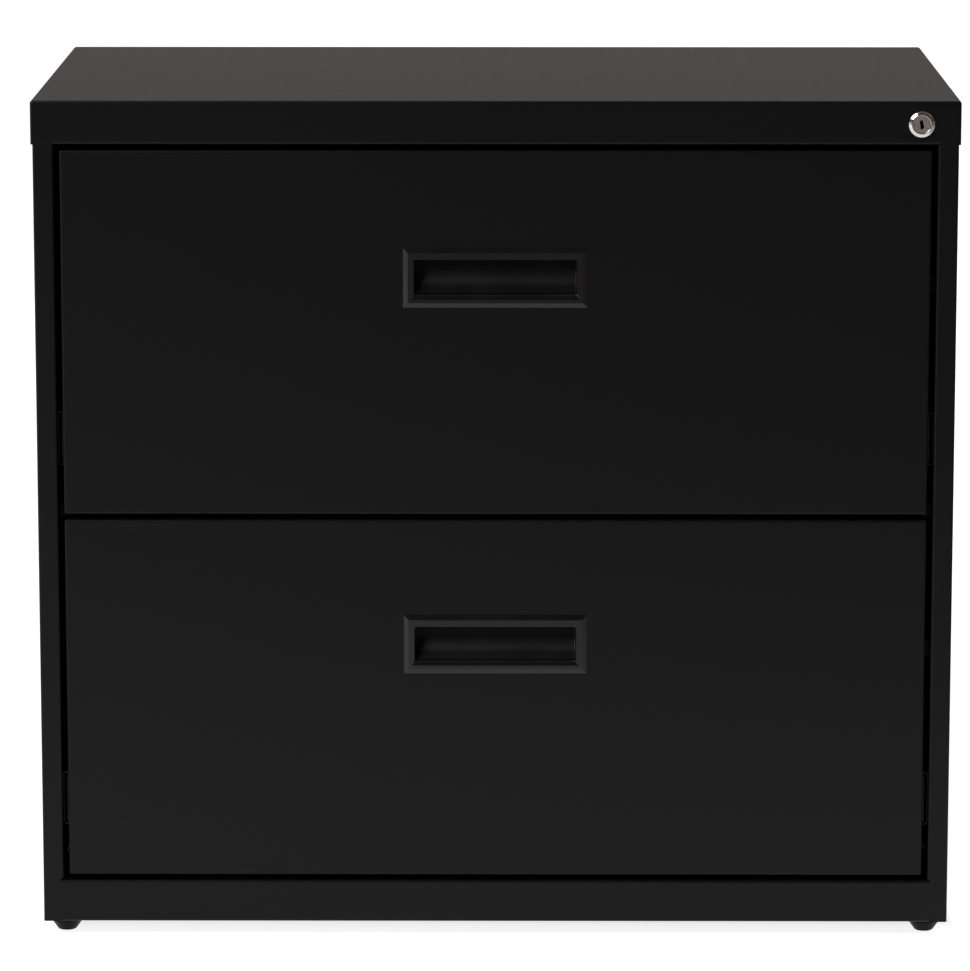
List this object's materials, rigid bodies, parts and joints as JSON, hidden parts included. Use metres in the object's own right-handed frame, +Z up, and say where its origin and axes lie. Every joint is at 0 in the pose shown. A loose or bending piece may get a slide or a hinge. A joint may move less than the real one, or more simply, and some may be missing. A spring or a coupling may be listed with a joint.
{
  "type": "lateral filing cabinet",
  "caption": "Low, wide steel filing cabinet with full-width drawers on telescopic slides, recessed pulls, a cam lock that lifts a lock bar, and levelling feet.",
  "frame": {"origin": "on the floor, under the middle of the cabinet's bounding box", "axes": "+X to the user's right along the width, -Y out of the drawer fronts, +Z up"},
  "size_m": [0.762, 0.451, 0.705],
  "materials": {
    "black_paint": "satin black powder coat",
    "pull_moulding": "satin black moulded plastic",
    "lock_chrome": "polished chrome",
    "lock_nickel": "satin nickel",
    "zinc_steel": "black zinc plate",
    "glide_nylon": "black nylon"
  },
  "bodies": {
    "case": {"top_cover": "black_paint", "left_side_panel": "black_paint", "right_side_panel": "black_paint", "back_panel": "black_paint", "bottom_panel": "black_paint", "front_base_rail": "black_paint", "rear_base_rail": "black_paint", "drawer_divider_rail": "black_paint", "left_front_upright": "black_paint", "left_rear_upright": "black_paint", "right_front_upright": "black_paint", "right_rear_upright": "black_paint", "front_left_glide_nut": "zinc_steel", "front_right_glide_nut": "zinc_steel", "rear_left_glide_nut": "zinc_steel", "rear_right_glide_nut": "zinc_steel", "upper_left_slide_case_member": "zinc_steel", "upper_right_slide_case_member": "zinc_steel", "lower_left_slide_case_member": "zinc_steel", "lower_right_slide_case_member": "zinc_steel", "lock_housing": "lock_chrome", "lock_nut": "zinc_steel", "upper_lock_bar_guide": "zinc_steel", "lower_lock_bar_guide": "zinc_steel"},
    "upper_drawer": {"upper_drawer_front": "black_paint", "upper_drawer_inner_front": "black_paint", "upper_drawer_pull": "pull_moulding", "upper_drawer_left_side": "black_paint", "upper_drawer_right_side": "black_paint", "upper_drawer_back": "black_paint", "upper_drawer_bottom": "black_paint", "upper_drawer_front_file_rail": "zinc_steel", "upper_drawer_rear_file_rail": "zinc_steel", "upper_drawer_lock_catch": "zinc_steel", "upper_left_slide_drawer_member": "zinc_steel", "upper_right_slide_drawer_member": "zinc_steel"},
    "upper_slide_middles": {"upper_left_slide_middle_member": "zinc_steel", "upper_right_slide_middle_member": "zinc_steel"},
    "lower_drawer": {"lower_drawer_front": "black_paint", "lower_drawer_inner_front": "black_paint", "lower_drawer_pull": "pull_moulding", "lower_drawer_left_side": "black_paint", "lower_drawer_right_side": "black_paint", "lower_drawer_back": "black_paint", "lower_drawer_bottom": "black_paint", "lower_drawer_front_file_rail": "zinc_steel", "lower_drawer_rear_file_rail": "zinc_steel", "lower_drawer_lock_catch": "zinc_steel", "lower_left_slide_drawer_member": "zinc_steel", "lower_right_slide_drawer_member": "zinc_steel"},
    "lower_slide_middles": {"lower_left_slide_middle_member": "zinc_steel", "lower_right_slide_middle_member": "zinc_steel"},
    "lock_cylinder": {"lock_plug": "lock_nickel", "lock_cam": "zinc_steel", "lock_cam_screw": "zinc_steel"},
    "lock_bar": {"lock_bar": "zinc_steel"},
    "front_left_foot": {"front_left_glide": "glide_nylon"},
    "front_right_foot": {"front_right_glide": "glide_nylon"},
    "rear_left_foot": {"rear_left_glide": "glide_nylon"},
    "rear_right_foot": {"rear_right_glide": "glide_nylon"}
  },
  "joints": [
    {"name": "upper_drawer_slide", "type": "slide", "parent": "case", "child": "upper_drawer", "axis": [0, -1, 0], "range_m": [0, 0.36]},
    {"name": "upper_middle_slide", "type": "slide", "parent": "case", "child": "upper_slide_middles", "axis": [0, -1, 0], "range_m": [0, 0.18]},
    {"name": "lower_drawer_slide", "type": "slide", "parent": "case", "child": "lower_drawer", "axis": [0, -1, 0], "range_m": [0, 0.36]},
    {"name": "lower_middle_slide", "type": "slide", "parent": "case", "child": "lower_slide_middles", "axis": [0, -1, 0], "range_m": [0, 0.18]},
    {"name": "lock_turn", "type": "hinge", "parent": "case", "child": "lock_cylinder", "pos_m": [0.3484, -0.2225, 0.686], "axis": [0, -1, 0], "range_deg": [0, 90]},
    {"name": "lock_bar_lift", "type": "slide", "parent": "case", "child": "lock_bar", "axis": [0, 0, 1], "range_m": [0, 0.02263]},
    {"name": "front_left_foot_level", "type": "slide", "parent": "case", "child": "front_left_foot", "axis": [0, 0, -1], "range_m": [0, 0.012]},
    {"name": "front_right_foot_level", "type": "slide", "parent": "case", "child": "front_right_foot", "axis": [0, 0, -1], "range_m": [0, 0.012]},
    {"name": "rear_left_foot_level", "type": "slide", "parent": "case", "child": "rear_left_foot", "axis": [0, 0, -1], "range_m": [0, 0.012]},
    {"name": "rear_right_foot_level", "type": "slide", "parent": "case", "child": "rear_right_foot", "axis": [0, 0, -1], "range_m": [0, 0.012]}
  ],
  "couplings": [
    {"joint": "upper_middle_slide", "follows": "upper_drawer_slide", "ratio": 0.5},
    {"joint": "lower_middle_slide", "follows": "lower_drawer_slide", "ratio": 0.5},
    {"joint": "lock_turn", "follows": "lock_bar_lift", "rad_per_m": 69.42}
  ]
}
